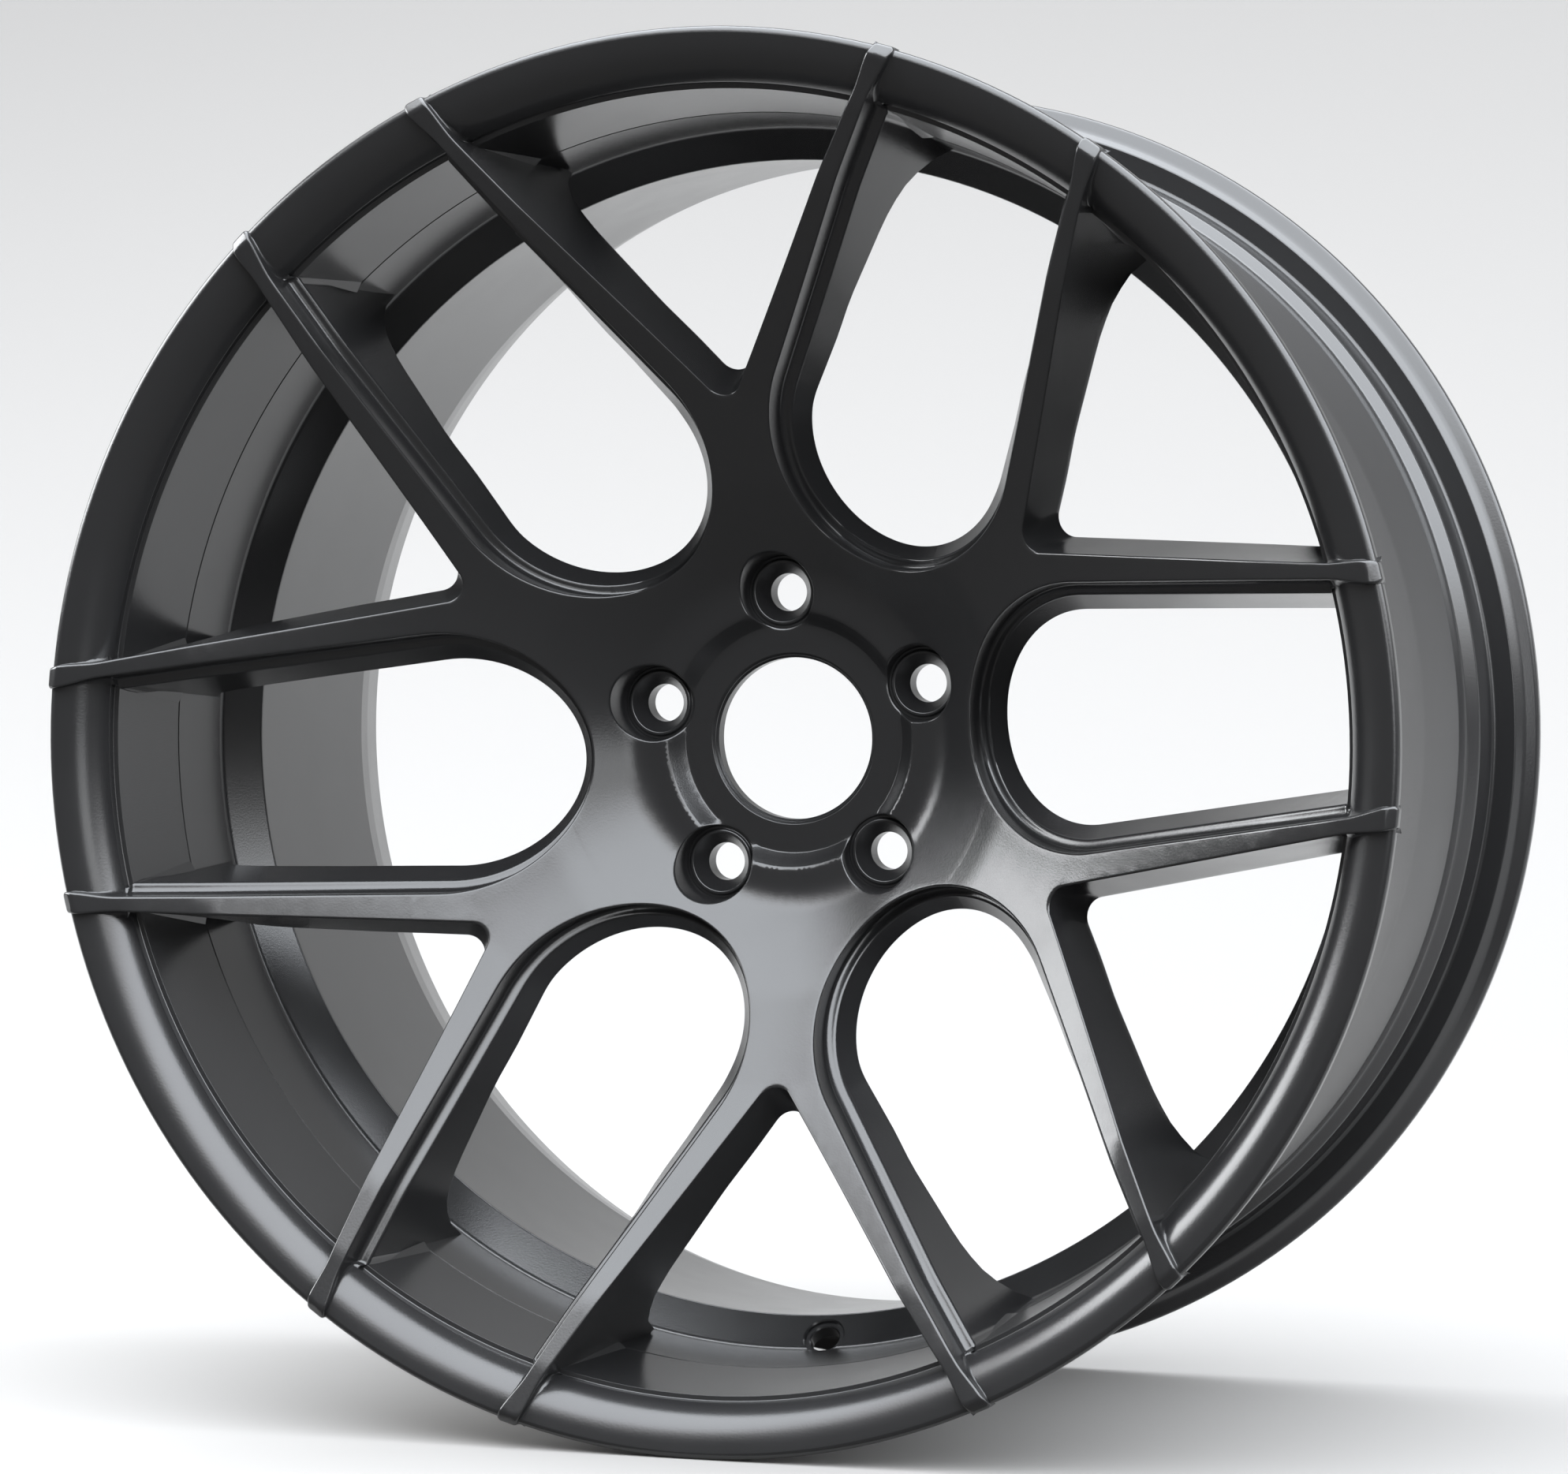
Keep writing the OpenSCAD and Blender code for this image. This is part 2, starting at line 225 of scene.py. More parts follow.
# ---- rim rings ----
# The bore side and the tyre side of the whole rim, both from the front crest to the rear crest.
bore_side = rounded([
    (FLANGE_R - 2.6, LIP_TOP_Z, 0), (*LIP_CORNER, LIP_ROUND), (*LIP_EDGE, 0.5),
    (LIP_EDGE[0] + 0.2, LIP_EDGE[1] - 1.4, 0.3), (LIP_EDGE[0], LIP_EDGE[1] - 3.2, 0.5),
    (BEAD_R - 3.5, FRONT_Z - 3.7, 0.12), (BEAD_R - 7.9, LEDGE_Z, 0),
    (BEAD_R - 7.2, LEDGE_Z - 0.35, 0), (BEAD_R - 8.1, LEDGE_Z - 0.7, 0),
    (BEAD_R - 10.1, FRONT_Z - 80.85, 5), (BEAD_R - 21.7, FRONT_Z - 93.25, 1.6),
    (BEAD_R - 12.2, REAR_Z + 29.65, 0), (BEAD_R - 9.8, REAR_Z + 18, 30),
    (BEAD_R - 3.6, REAR_Z - 5.35, 1), (BEAD_R - 0.8, REAR_Z - 8.8, 2), (BEAD_R + 4, REAR_Z - 10.6, 5),
    (FLANGE_R - 4.5, REAR_END_Z, 2), (FLANGE_R - 2.4, REAR_END_Z, 0)])
tyre_side = rounded([
    (FLANGE_R - 2.6, LIP_TOP_Z, 0), (FLANGE_R, LIP_TOP_Z, 2.9), (FLANGE_R, FRONT_Z + 6.3, 2.4),
    (FLANGE_R - 5.6, FRONT_Z + 3.6, 5), (FLANGE_R - 8.2, FRONT_Z, 1), (BEAD_R, FRONT_Z, 2.2),
    (BEAD_R - 1.75, FRONT_Z - 21.2, 2), (BEAD_R - 0.5, FRONT_Z - 24.4, 1.5),
    (BEAD_R - 2.9, FRONT_Z - 29.4, 2), (BEAD_R - 3, FRONT_Z - 79.2, 4),
    (BEAD_R - 16.9, FRONT_Z - 99.7, 8), (BEAD_R - 16.9, FRONT_Z - 108, 6),
    (BEAD_R - 11, REAR_Z + 76, 60), (BEAD_R - 4.9, REAR_Z + 40, 10), (BEAD_R - 4.9, REAR_Z + 27.6, 4),
    (BEAD_R + 0.7, REAR_Z + 21.5, 2.5), (BEAD_R - 1.75, REAR_Z + 18.8, 1), (BEAD_R, REAR_Z, 2.2),
    (FLANGE_R - 8.2, REAR_Z, 1), (FLANGE_R - 5.6, REAR_Z - 3.6, 5), (FLANGE_R, REAR_Z - 6.3, 2.4),
    (FLANGE_R, REAR_END_Z, 2.6), (FLANGE_R - 2.4, REAR_END_Z, 0)])

# Each ring lies between two planes, placed as in the CAD. The outermost two clear the crests.
CUTS = {
    "front_lip": (LIP_TOP_Z + 1, FRONT_Z - 4.15),
    "front_bead_seat": (FRONT_Z - 4.15, FRONT_Z - 30.65),
    "front_ledge": (FRONT_Z - 30.65, FRONT_Z - 74.65),
    "drop_centre": (FRONT_Z - 74.65, REAR_Z + 120.65),
    "rear_barrel": (REAR_Z + 120.65, REAR_Z + 29.65),
    "rear_bead_seat": (REAR_Z + 29.65, REAR_Z + 4.65),
    "rear_flange": (REAR_Z + 4.65, REAR_END_Z - 1),
}


def between(path, high, low):
    """The stretch of a front-to-rear path between two planes, with points on the planes."""
    kept = []
    for (r0, z0), (r1, z1) in zip(path, path[1:]):
        if low <= z0 <= high:
            kept.append((r0, z0))
        for plane in (high, low):
            if z0 > plane > z1:
                kept.append((r0 + (r1 - r0) * (z0 - plane) / (z0 - z1), plane))
    if low <= path[-1][1] <= high:
        kept.append(tuple(path[-1]))
    return kept


def ring(node):
    """One region of the rim; both sides share the crest point at either end, so one copy goes."""
    high, low = CUTS[node]
    inner = between(bore_side, high, low)
    outer = between(tyre_side, high, low)
    if node == "front_lip":
        inner = inner[1:]
    if node == "rear_flange":
        inner = inner[:-1]
    vertices, faces = revolve(inner + outer[::-1])
    return finish_piece(node, vertices, faces)


rings = {ring_node: ring(ring_node) for ring_node in CUTS}

# ---- spoke surfaces ----
FACE_TIP = (FLANGE_R - 3.4, LIP_TOP_Z + 3.2)   # where the flat front of an arm ends
END_R = FLANGE_R + 0.8                         # outer end of an arm
# Front face of the hub and the spokes: flat round the bore, a step at the lug pockets, the dish, the arm.
face_path = rounded([
    (BORE_R - 3, HUB_Z, 0), (43.7, HUB_Z, 1.5), (49.4, HUB_Z + 6.1, 3), (60.8, HUB_Z + 7.4, 24),
    (95.4, HUB_Z + 30.1, 120), (128.8, HUB_Z + 48.9, 150), (210, FRONT_Z - 1.2, 60),
    (236, FRONT_Z + 9.9, 60), (*FACE_TIP, 2.5), (END_R + 0.5, LIP_TOP_Z - 0.3, 0)], 8)
back_path = rounded([
    (BORE_R - 3, PAD_Z, 0), (PAD_R + 1, PAD_Z, 2), (88, 15.1, 20), (127, 39.9, 30), (154, 51, 30),
    (168, 59, 30), (200, 68, 20), (213, 67, 14), (224, 55, 10), (232.5, 32, 0)], 6)
lip_path = rounded([
    (*LIP_EDGE, 0), (*LIP_CORNER, LIP_ROUND), (FLANGE_R, LIP_TOP_Z, 2.9),
    (FLANGE_R + 0.01, FRONT_Z + 7, 0)], 8)
# Lowest that an arm may reach, which keeps its root inside the metal of the rings.
hidden_path = np.array([
    (BEAD_R - 7.9, -1000), (BEAD_R - 7.8, 32), (BEAD_R - 6, FRONT_Z - 46), (BEAD_R - 2.6, FRONT_Z - 4.4),
    (BEAD_R + 2.7, FRONT_Z + 2.2), (BEAD_R + 8.7, FRONT_Z + 8.9), (FLANGE_R - 3, FRONT_Z + 9.3),
    (FLANGE_R - 1.6, FRONT_Z + 6.9), (END_R + 1, FRONT_Z + 6.9)])


def height_on(path):
    return lambda r: np.interp(r, path[:, 0], path[:, 1])


face_z = height_on(face_path)
back_z = height_on(back_path)
lip_z = height_on(lip_path)
hidden_z = height_on(hidden_path)

# Windows, in plan: a U window points along its own axis, a V window lies in the fork of a spoke.
U_CENTRE = 125.1                  # from the axle to the middle of a U window's round end
U_R = 49.3
U_CLOSE = math.radians(4.2)       # a U window's sides close towards the lip by this
V_IN_R = 129.4                    # inner end of a V window
V_R = 7.3                         # its round corner
V_OPEN = math.radians(36.75)      # half the angle between its sides
CUT_R = 88.0                      # hub and spokes part here
EDGE = 1.0                        # rounding of the front edges
STEP_DEPTH = 13.5                 # the step inside a U window lies this far below the face
STEP_WIDTH = 4.7
STEP_FILLET = 2.5
STEP_BEAD = 1.5
U_DRAFT = 9.5                     # setback of a U window's wall at the back
V_DRAFT = 6.2
BACK_EDGE = 1.2
LIP_FILLET = 2.6                  # between an arm's side and the lip
CORNER_R = 1.6                    # corners at the end of an arm, in plan
TIP_FLARE = 1.5                   # an arm's sides move out by this over the lip
FLARE_LENGTH = 16.0
WEDGE_WIDTH = 5.5                 # of the wedge beside an arm's root, along the ledge's groove
WEDGE_HEIGHT = 3.0                # up the arm's wall, at the same place
U_SETBACKS = (STEP_WIDTH, 6.9)    # how far the walls stand back beside the lip and at the groove
V_SETBACKS = (0.7, 3.3)
LIP_START_R = BEAD_R - 2.7        # an arm's side changes to its form over the lip from here
LIP_BLEND = 0.9                   # over this length

# Every cross-section of a side has the same stations: front edge, wall, back edge.
EDGE_STATIONS = 5
WALL_STATIONS = 10
BACK_STATIONS = 4
EDGE_PART = slice(0, EDGE_STATIONS)
WALL_PART = slice(EDGE_STATIONS, EDGE_STATIONS + WALL_STATIONS)
BACK_PART = slice(EDGE_STATIONS + WALL_STATIONS, None)
quarter = np.linspace(0, math.pi / 2, EDGE_STATIONS)
edge_d = -EDGE + EDGE * np.sin(quarter)
edge_depth = EDGE - EDGE * np.cos(quarter)
back_quarter = np.linspace(0, math.pi / 2, BACK_STATIONS)


def radius(points):
    return np.hypot(points[..., 0], points[..., 1])


def eased(t):
    """Smooth step from 0 to 1."""
    t = np.clip(t, 0, 1)
    return t * t * (3 - 2 * t)


def u_stations(at, out):
    """Cross-section of a U window's side: edge, wall, filleted step with a bead, drafted wall, back."""
    fillet_d = 0.3 + STEP_FILLET - STEP_FILLET * np.cos(quarter)
    fillet_depth = STEP_DEPTH - STEP_FILLET + STEP_FILLET * np.sin(quarter)
    bead_d = STEP_WIDTH - STEP_BEAD + STEP_BEAD * np.sin(quarter)
    bead_depth = STEP_DEPTH + STEP_BEAD - STEP_BEAD * np.cos(quarter)
    back_d = U_DRAFT - BACK_EDGE + BACK_EDGE * np.cos(back_quarter)
    d = np.concatenate((edge_d, fillet_d, bead_d, back_d))
    plan = at[:, None, :] + out[:, None, :] * d[None, :, None]
    r = radius(plan)
    front = face_z(r[:, :-BACK_STATIONS]) - np.concatenate((edge_depth, fillet_depth, bead_depth))
    back = back_z(r[:, BACK_PART]) + BACK_EDGE - BACK_EDGE * np.sin(back_quarter)
    return np.dstack((plan, np.hstack((front, back))))


def v_stations(at, out):
    """Cross-section of a V window's side: edge, one drafted wall, back."""
    share = np.arange(1, WALL_STATIONS + 1) / (WALL_STATIONS + 1)
    back_d = V_DRAFT - BACK_EDGE + BACK_EDGE * np.cos(back_quarter)
    d = np.concatenate((edge_d, V_DRAFT * share, back_d))
    plan = at[:, None, :] + out[:, None, :] * d[None, :, None]
    r = radius(plan)
    edge = face_z(r[:, EDGE_PART]) - edge_depth
    wall_top = face_z(r[:, WALL_PART]) - EDGE
    wall_foot = back_z(r[:, WALL_PART]) + BACK_EDGE
    wall = wall_top * (1 - share) + wall_foot * share
    back = back_z(r[:, BACK_PART]) + BACK_EDGE - BACK_EDGE * np.sin(back_quarter)
    return np.dstack((plan, np.hstack((edge, wall, back))))


def lip_stations(at, out):
    """Cross-section of an arm's side over the lip: edge, short wall, fillet, root hidden in the lip."""
    r0 = radius(at)
    wall_height = face_z(r0) - lip_z(r0) - EDGE
    fillet = np.clip(0.55 * wall_height, 0.3, LIP_FILLET)
    sweep = np.linspace(0, math.pi / 2, WALL_STATIONS)
    fillet_d = fillet[:, None] * (1 - np.cos(sweep))
    root_d = fillet[:, None] * np.array([1.1, 0.8, 0.4, 0.0])
    d = np.hstack((np.repeat(edge_d[None, :], len(at), 0), fillet_d, root_d))
    plan = at[:, None, :] + out[:, None, :] * d[:, :, None]
    r = radius(plan)
    edge = face_z(r[:, EDGE_PART]) - edge_depth
    flare = lip_z(r[:, WALL_PART]) + fillet[:, None] * (1 - np.sin(sweep))
    root = lip_z(r[:, BACK_PART]) - np.array([0.7, 1.4, 1.8, 2.0])
    return np.dstack((plan, np.hstack((edge, flare, root))))


def tip_stations(at, out):
    """Cross-section of an arm's outer end, which turns in under the crest of the lip."""
    wall_d = np.array([0, 0, 0, 0, -0.05, -0.2, -0.45, -0.8, -1.2, -1.7])
    drop = np.array([0.1, 0.3, 0.55, 0.75, 0.85, 0.92, 0.96, 0.99, 1.0, 1.0])
    root_d = np.array([-2.0, -2.3, -2.6, -2.9])
    d = np.concatenate((edge_d, wall_d, root_d))
    plan = at[:, None, :] + out[:, None, :] * d[None, :, None]
    r = radius(plan)
    foot = FRONT_Z + 7.6
    edge = face_z(r[:, EDGE_PART]) - edge_depth
    top = face_z(radius(at))[:, None] - EDGE
    wall = top + (foot - top) * drop
    root = np.full((len(at), BACK_STATIONS), foot)
    return np.dstack((plan, np.hstack((edge, wall, root))))


def turned(points, angle):
    c, s = math.cos(angle), math.sin(angle)
    return points @ np.array([[c, s], [-s, c]])


def unit(angle):
    return np.array([math.cos(angle), math.sin(angle)])


def along(start, direction, radii):
    """Points on a straight side where it reaches each radius."""
    reach = start @ direction
    distance = -reach + np.sqrt(reach * reach - start @ start + np.asarray(radii) ** 2)
    return start + distance[:, None] * direction


def window_arc(centre_r, arc_r, angles):
    """Points on the round end of a window whose axis is x, and the directions into the window."""
    normal = np.column_stack((np.cos(angles), np.sin(angles)))
    return np.array([centre_r, 0.0]) + arc_r * normal, -normal


# Radii of the sections on an arm's straight sides: finest next to the lip.
side_radii = np.concatenate((
    np.arange(144, BEAD_R - 10, 6), np.arange(BEAD_R - 9, BEAD_R - 1, 0.5),
    np.arange(BEAD_R - 1, END_R - CORNER_R - 0.4, 1.2), [END_R - CORNER_R]))

HALF_SPOKE = math.pi / SPOKES
U_END = math.pi / 2 - U_CLOSE     # a U window's round end meets its straight sides at this angle
V_END = math.pi / 2 + V_OPEN      # likewise for a V window's corner
cut_cos = (CUT_R ** 2 - U_CENTRE ** 2 - U_R ** 2) / (2 * U_CENTRE * U_R)
CUT_THETA = math.acos(cut_cos)    # and it crosses the hub-to-spoke cut at this one
V_TURN_LENGTH = 40                # the V walls' setback turns from axial to square over this length


def over_lip(points):
    """0 on the open spoke, 1 where an arm runs over the lip."""
    return eased((radius(points) - LIP_START_R) / LIP_BLEND)[:, None, None]


def flared(at, out):
    """Moves an arm's side points outwards where the arm runs over the lip."""
    return at + out * (TIP_FLARE * eased((radius(at) - LIP_EDGE[0]) / FLARE_LENGTH))[:, None]


def half_spoke():
    """Sections of the half of a Y-spoke on the counter-clockwise side of its axis."""
    # U window's side, from the hub to the end of the arm
    arc_at, arc_out = window_arc(U_CENTRE, U_R, -np.linspace(CUT_THETA, U_END, 22))
    straight_at = along(arc_at[-1], unit(U_CLOSE), side_radii)
    straight_out = np.repeat(arc_out[-1:], len(side_radii), 0)
    u_at = turned(np.vstack((arc_at, straight_at)), HALF_SPOKE)
    u_out = turned(np.vstack((arc_out, straight_out)), HALF_SPOKE)
    u_at = flared(u_at, u_out)
    blend = over_lip(u_at)
    u_part = u_stations(u_at, u_out) * (1 - blend) + lip_stations(u_at, u_out) * blend
    # V window's side, from its corner to the end of the arm
    arc_at, arc_out = window_arc(V_IN_R + V_R, V_R, np.linspace(math.pi, V_END, 10))
    side_normal = arc_out[-1]
    v_at = np.vstack((arc_at, along(arc_at[-1], unit(V_OPEN), side_radii)))
    slide = np.clip(1 - (radius(v_at) - radius(arc_at[-1])) / V_TURN_LENGTH, 0, 1)[:, None]
    v_out = side_normal + unit(V_OPEN) * slide / math.tan(V_OPEN)
    plain_out = np.repeat(side_normal[None, :], len(v_at), 0)
    v_at = flared(v_at, plain_out)
    blend = over_lip(v_at)
    v_part = v_stations(v_at, v_out) * (1 - blend) + lip_stations(v_at, plain_out) * blend
    # Rounded end of the arm
    tip_part = arm_end(u_at[-1], u_out[-1], v_at[-1], side_normal)
    sections = np.concatenate((u_part, tip_part, v_part[::-1]))
    sections[..., 2] = np.maximum(sections[..., 2], hidden_z(radius(sections)))
    return sections


def arm_end(u_at, u_out, v_at, v_out):
    """Sections round the end of an arm, from the U side to the V side."""
    share = np.linspace(0, 1, 5)[1:]
    lean = share[:, None] * math.pi / 2
    weight = eased(share)[:, None, None]
    parts = []
    for side_at, side_out in ((u_at, u_out), (v_at, v_out)):
        centre = side_at - side_out * CORNER_R
        radial = centre / np.linalg.norm(centre)
        out = side_out * np.cos(lean) + radial * np.sin(lean)
        out /= np.linalg.norm(out, axis=1)[:, None]
        at = centre + out * CORNER_R
        parts.append(lip_stations(at, out) * (1 - weight) + tip_stations(at, out) * weight)
    return np.concatenate((parts[0], parts[1][::-1]))


def inside(points, loops):
    """Even-odd test of plan points against closed loops."""
    result = np.zeros(len(points), bool)
    x, y = points[:, 0], points[:, 1]
    for loop in loops:
        for (x0, y0), (x1, y1) in zip(loop, np.roll(loop, -1, 0)):
            crosses = (y0 > y) != (y1 > y)
            if y0 != y1:
                result ^= crosses & (x < (x1 - x0) * (y - y0) / (y1 - y0) + x0)
    return result


def circle(count):
    angles = np.arange(count) * 2 * math.pi / count
    return np.column_stack((np.cos(angles), np.sin(angles)))


ROW_STEP = 24                     # points in a fill's rows come in multiples of this, so rows line up
BORDER_GAP = 0.45                 # a fill's points keep this share of their spacing off the borders


def fill(loops, radii, spacing):
    """Triangles and extra plan points that fill the first loop outside of the other loops."""
    border = np.vstack(loops)
    steps = [ROW_STEP * max(1, round(2 * math.pi * r / (ROW_STEP * spacing))) for r in radii]
    grid = np.vstack([r * circle(count) for r, count in zip(radii, steps)])
    low, high = border.min(0), border.max(0)
    grid = grid[((grid > low) & (grid < high)).all(1)]
    grid = grid[inside(grid, loops)]
    gap = np.array([np.hypot(*(border - point).T).min() for point in grid])
    grid = grid[gap > BORDER_GAP * spacing]
    points = np.vstack((border, grid))
    edges = []
    start = 0
    for loop in loops:
        edges += [(start + i, start + (i + 1) % len(loop)) for i in range(len(loop))]
        start += len(loop)
    corners, _, triangles, sources, *_ = delaunay_2d_cdt(points.tolist(), edges, [], 1, 1e-6)
    if len(corners) != len(points):
        raise ValueError("a fill's borders touch each other")
    first_source = np.array([numbers[0] for numbers in sources])
    triangles = first_source[np.array(triangles)]
    return grid, triangles[inside(points[triangles].mean(1), loops)]


class Shell:
    """Collects the grid strips and fills of one closed piece."""

    def __init__(self):
        self.vertices = []
        self.faces = []

    def add(self, points):
        start = len(self.vertices)
        self.vertices += [tuple(p) for p in points]
        return np.arange(start, start + len(points))

    def strip(self, sections):
        """Closed band of quads; sections is [place][station][xyz]. Returns the vertex numbers."""
        places, stations = sections.shape[:2]
        numbers = self.add(sections.reshape(-1, 3)).reshape(places, stations)
        for i in range(places):
            k = (i + 1) % places
            for j in range(stations - 1):
                self.faces.append((numbers[i, j], numbers[k, j], numbers[k, j + 1], numbers[i, j + 1]))
        return numbers

    def cap(self, borders, surface, radii, spacing):
        """Fills between borders, whose first one is the outline, on a surface of revolution."""
        where = np.array(self.vertices)
        loops = [where[border][:, :2] for border in borders]
        grid, triangles = fill(loops, radii, spacing)
        extra = self.add(np.column_stack((grid, surface(radius(grid)))))
        numbers = np.concatenate((*borders, extra))
        self.faces += [tuple(numbers[t]) for t in triangles]

    def plain_faces(self):
        return [tuple(int(i) for i in face) for face in self.faces]

    def piece(self, node, *look):
        return finish_piece(node, self.vertices, self.plain_faces(), *look)


CLOSEST_ROWS = 0.35


def graded(path, low, high, spacing):
    """Radii that follow a profile's own points, with its long straight stretches filled in."""
    own = np.unique(np.round(path[:, 0], 3))
    own = own[(own > low) & (own < high)]
    stops = np.concatenate(([low], own, [high]))
    radii = []
    for a, b in zip(stops, stops[1:]):
        pieces = max(1, math.ceil((b - a) / spacing))
        radii += list(np.linspace(a, b, pieces + 1)[:-1])
    kept = [radii[0]]
    for r in radii[1:]:
        if r - kept[-1] > CLOSEST_ROWS:
            kept.append(r)
    return kept


spoke_half = half_spoke()
CUT_STEPS = 12


def cut_sections(section):
    """Sections of the hub-to-spoke wall from the spoke's axis to its counter-clockwise U window."""
    r = radius(section)
    end = np.arctan2(section[:, 1], section[:, 0])
    share = np.arange(CUT_STEPS) / CUT_STEPS
    angle = share[:, None] * end[None, :]
    z = np.repeat(section[None, :, 2], CUT_STEPS, 0)
    return np.dstack((r * np.cos(angle), r * np.sin(angle), z))


def mirrored(sections):
    return sections * np.array([1, -1, 1])


def whole_spoke():
    upper = np.concatenate((cut_sections(spoke_half[0]), spoke_half))
    lower = mirrored(upper)[1:-1][::-1]
    return np.concatenate((upper, lower))


def swung(sections, angle):
    plan = turned(sections[..., :2].reshape(-1, 2), angle).reshape(sections.shape[:2] + (2,))
    return np.dstack((plan, sections[..., 2]))


def back_or_hidden(r):
    return np.maximum(back_z(r), hidden_z(r))


def wedge(start, direction, out, top_d, groove_d):
    """Four points of the wedge between an arm's side and the front ledge.

    The side runs from start along direction, out points away from the metal, and the arm's wall
    stands back by top_d next to the lip and by groove_d at the groove of the ledge.
    """
    def corner(r, d, z):
        return (*along(start + out * d, direction, [r])[0], z)

    return np.array([
        corner(BEAD_R - 3.4, top_d, FRONT_Z - 4),
        corner(BEAD_R - 7.2, groove_d + WEDGE_WIDTH, LEDGE_Z),
        corner(BEAD_R - 7 - WEDGE_HEIGHT, groove_d - 0.6, LEDGE_Z),
        corner(BEAD_R - 5, top_d - 1, LEDGE_Z)])


def spoke_wedges():
    """The wedges in the four corners between the arms of a spoke and the front ledge."""
    (u_start,), (u_out,) = window_arc(U_CENTRE, U_R, [-U_END])
    (v_start,), (v_out,) = window_arc(V_IN_R + V_R, V_R, [V_END])
    u_line = [turned(value, HALF_SPOKE) for value in (u_start, unit(U_CLOSE), u_out)]
    wedges = [wedge(*u_line, *U_SETBACKS), wedge(v_start, unit(V_OPEN), v_out, *V_SETBACKS)]
    return wedges + [mirrored(points) for points in wedges]


FACE_SPACING = 4                  # between the rows of points on a spoke's front
BACK_SPACING = 3
spoke = whole_spoke()
wedges = spoke_wedges()
for number in range(1, SPOKES + 1):
    angle = SPIN - (number - 1) * 2 * math.pi / SPOKES
    shell = Shell()
    numbers = shell.strip(swung(spoke, angle))
    face_rows = graded(face_path, CUT_R, END_R, FACE_SPACING)
    back_rows = graded(back_path, CUT_R, END_R - 3, BACK_SPACING)
    shell.cap([numbers[:, 0]], face_z, face_rows, FACE_SPACING)
    shell.cap([numbers[:, -1]], back_or_hidden, back_rows, BACK_SPACING)
    for points in wedges:
        a, b, c, d = shell.add(np.column_stack((turned(points[:, :2], angle), points[:, 2])))
        shell.faces += [(a, b, c), (a, c, d), (a, d, b), (b, d, c)]
    shell.piece(f"y_spoke_{number}")

# ---- hub ----
POCKET_DRAFT = math.tan(math.radians(4.5))
POCKET_EDGE = 0.8
SEAT_Z = HUB_Z - 0.3              # front of the lug seats
STEP_Z = HUB_Z / 2 - 1            # seat between the cap bore and the hub bore
HUB_SPACING = 2                   # between the rows of points on the hub's front
HOLE_STEPS = 64                   # facets round a lug pocket, a lug seat or the valve hole
BORE_STEPS = 96                   # round the hub bore
PAD_STEPS = 160                   # round the mounting pad and the cap ring


def hub_rim():
    """Sections round the hub: the six cuts towards the spokes and the inner ends of the U windows."""
    lower = u_stations(*window_arc(U_CENTRE, U_R, -np.linspace(CUT_THETA, math.pi, 14)))
    upper = mirrored(lower)[:-1][::-1]
    window = swung(np.concatenate((lower, upper)), HALF_SPOKE)
    wall = cut_sections(spoke_half[0])
    wall = np.concatenate((mirrored(wall)[1:][::-1], wall))
    one = np.concatenate((wall, window[:-1]))
    first_wall_place = mirrored(spoke_half[:1])
    parts = []
    for number in range(SPOKES):
        turn = SPIN + number * 2 * math.pi / SPOKES
        parts.append(swung(np.concatenate((first_wall_place, one)), turn))
    return np.concatenate(parts)


def turned_sections(outline, count):
    """Sections of a wall of revolution whose profile is the (r, z) outline."""
    rim = circle(count)
    return np.stack([np.column_stack((rim * r, np.full(count, z))) for r, z in outline], 1)


def pocket_sections(angle):
    """Sections of a drafted lug pocket whose rounded rim follows the front face of the hub."""
    centre = LUG_CIRCLE_R * unit(angle)
    ring_points = circle(HOLE_STEPS)
    rim = np.full(HOLE_STEPS, POCKET_R)
    for _ in range(6):
        rim = POCKET_R + (face_z(radius(centre + ring_points * rim[:, None])) - SEAT_Z) * POCKET_DRAFT
    places = []
    for lean in quarter:
        r = rim + POCKET_EDGE * (1 - math.sin(lean))
        plan = centre + ring_points * r[:, None]
        z = face_z(radius(plan)) - POCKET_EDGE * (1 - math.cos(lean))
        places.append(np.column_stack((plan, np.maximum(z, SEAT_Z))))
    wall_top = centre + ring_points * rim[:, None]
    wall_z = np.maximum(face_z(radius(wall_top)) - POCKET_EDGE, SEAT_Z - 0.4)
    places = places[:-1] + [np.column_stack((wall_top, wall_z))]
    for z in (SEAT_Z - 0.6, PAD_Z):
        places.append(np.column_stack((centre + ring_points * POCKET_R, np.full(HOLE_STEPS, z))))
    return np.stack(places, 1)


hub = Shell()
rim_numbers = hub.strip(hub_rim())
bore_outline = [(CAP_RING_R, HUB_Z), (CAP_RING_R, STEP_Z), (BORE_R, STEP_Z), (BORE_R, PAD_Z)]
bore_numbers = hub.strip(turned_sections(bore_outline, BORE_STEPS))
lug_angles = [SPIN + k * 2 * math.pi / LUGS for k in range(LUGS)]
pocket_numbers = [hub.strip(pocket_sections(angle)) for angle in lug_angles]
hub_borders = [rim_numbers, bore_numbers, *pocket_numbers]
face_rows = graded(face_path, CAP_RING_R, CUT_R + 3, HUB_SPACING)
back_rows = graded(back_path, BORE_R, CUT_R + 6, BACK_SPACING)
hub.cap([border[:, 0] for border in hub_borders], face_z, face_rows, HUB_SPACING)
hub.cap([border[:, -1] for border in hub_borders], back_z, back_rows, BACK_SPACING)
hub.piece("hub")

